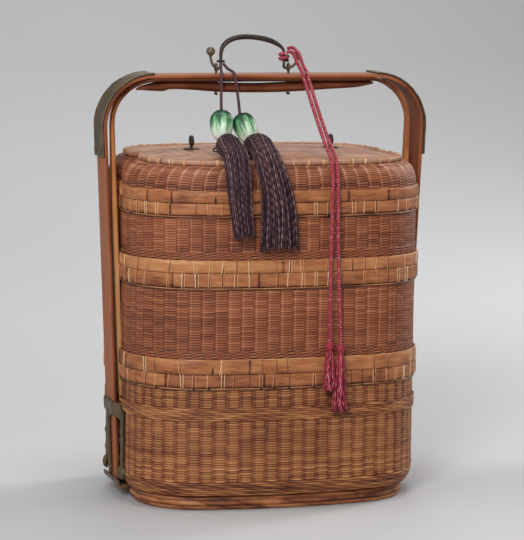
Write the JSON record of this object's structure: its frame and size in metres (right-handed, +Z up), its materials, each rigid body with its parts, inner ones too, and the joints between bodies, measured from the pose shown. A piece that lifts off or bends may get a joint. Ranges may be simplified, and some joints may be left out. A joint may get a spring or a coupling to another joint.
{
  "type": "tiered bamboo food basket",
  "caption": "Woven bamboo food basket with stacked tiers and a domed lid under a bent strip handle, with metal fittings, a small swinging bail, beads, tassels and a red cord.",
  "frame": {"origin": "middle of the foot ring's underside, on the ground", "axes": "+Z up, +X along the handle to the right as seen from the front, +Y to the back, so the front with the tassels faces -Y"},
  "size_m": [0.3366, 0.2486, 0.4584],
  "materials": {
    "cane_weave": "woven split cane, aged orange brown, satin",
    "bamboo_band": "flat bamboo bands, lashed with paler cane, satin",
    "handle_bamboo": "red brown polished bamboo strip",
    "slat_bamboo": "orange brown bamboo slat",
    "patinated_metal": "dark grey green patina",
    "bail_metal": "dark brown patina",
    "purple_cord": "dull purple silk cord and threads",
    "red_cord": "braided crimson cord",
    "glazed_bead": "green to white glaze"
  },
  "bodies": {
    "base": {"foot_ring": "bamboo_band", "base_plinth": "cane_weave", "bottom_floor": "cane_weave", "bottom_wall": "cane_weave", "bottom_belt": "cane_weave", "bottom_rim_cane": "bamboo_band", "bottom_rim_band": "bamboo_band", "under_strap": "patinated_metal", "handle_outer_strip": "handle_bamboo", "handle_inner_strip": "slat_bamboo", "grip_bar": "handle_bamboo", "shoulder_strap_left": "patinated_metal", "shoulder_strap_right": "patinated_metal", "shoulder_rivet_left_front": "patinated_metal", "shoulder_rivet_left_back": "patinated_metal", "shoulder_rivet_right_front": "patinated_metal", "shoulder_rivet_right_back": "patinated_metal", "fork_left": "patinated_metal", "fork_right": "patinated_metal", "fork_rivet_left": "patinated_metal", "fork_rivet_right": "patinated_metal", "leg_spacer_left": "slat_bamboo", "leg_spacer_right": "slat_bamboo", "eye_post_left": "patinated_metal", "eye_post_right": "patinated_metal", "purple_cord_left": "purple_cord", "purple_cord_right": "purple_cord", "red_cord_left": "red_cord", "red_cord_right": "red_cord"},
    "middle": {"middle_wall": "cane_weave", "middle_floor": "cane_weave", "middle_hoop": "bamboo_band", "middle_lower_band": "bamboo_band", "middle_rim_cane": "bamboo_band", "middle_rim_band": "bamboo_band"},
    "top": {"top_wall": "cane_weave", "top_floor": "cane_weave", "top_hoop": "bamboo_band", "top_lower_band": "bamboo_band", "top_rim_cane": "bamboo_band", "top_rim_band": "bamboo_band"},
    "lid": {"lid_dome": "cane_weave", "lid_panel": "cane_weave", "lid_panel_rim": "bamboo_band", "lid_band": "bamboo_band", "lid_hoop": "bamboo_band", "lid_loop_left": "patinated_metal", "lid_loop_right": "patinated_metal", "lid_plate_left": "patinated_metal", "lid_plate_right": "patinated_metal", "bead_left": "glazed_bead", "bead_right": "glazed_bead", "purple_tassel_left": "purple_cord", "purple_tassel_right": "purple_cord", "red_tassel_left": "red_cord", "red_tassel_right": "red_cord"},
    "bail": {"bail": "bail_metal", "red_hitch": "red_cord", "purple_loop": "purple_cord"}
  },
  "joints": [
    {"name": "middle_lift", "type": "slide", "parent": "base", "child": "middle", "axis": [0, 0, 1], "range_m": [0, 0.007]},
    {"name": "top_lift", "type": "slide", "parent": "middle", "child": "top", "axis": [0, 0, 1], "range_m": [0, 0.007]},
    {"name": "lid_lift", "type": "slide", "parent": "top", "child": "lid", "axis": [0, 0, 1], "range_m": [0, 0.016], "deforming": ["purple_cord_left", "purple_cord_right", "red_cord_left", "red_cord_right"]},
    {"name": "bail_swing", "type": "hinge", "parent": "base", "child": "bail", "pos_m": [-0.0105, 0, 0.4252], "axis": [1, 0, 0], "range_deg": [-90, 90]}
  ]
}
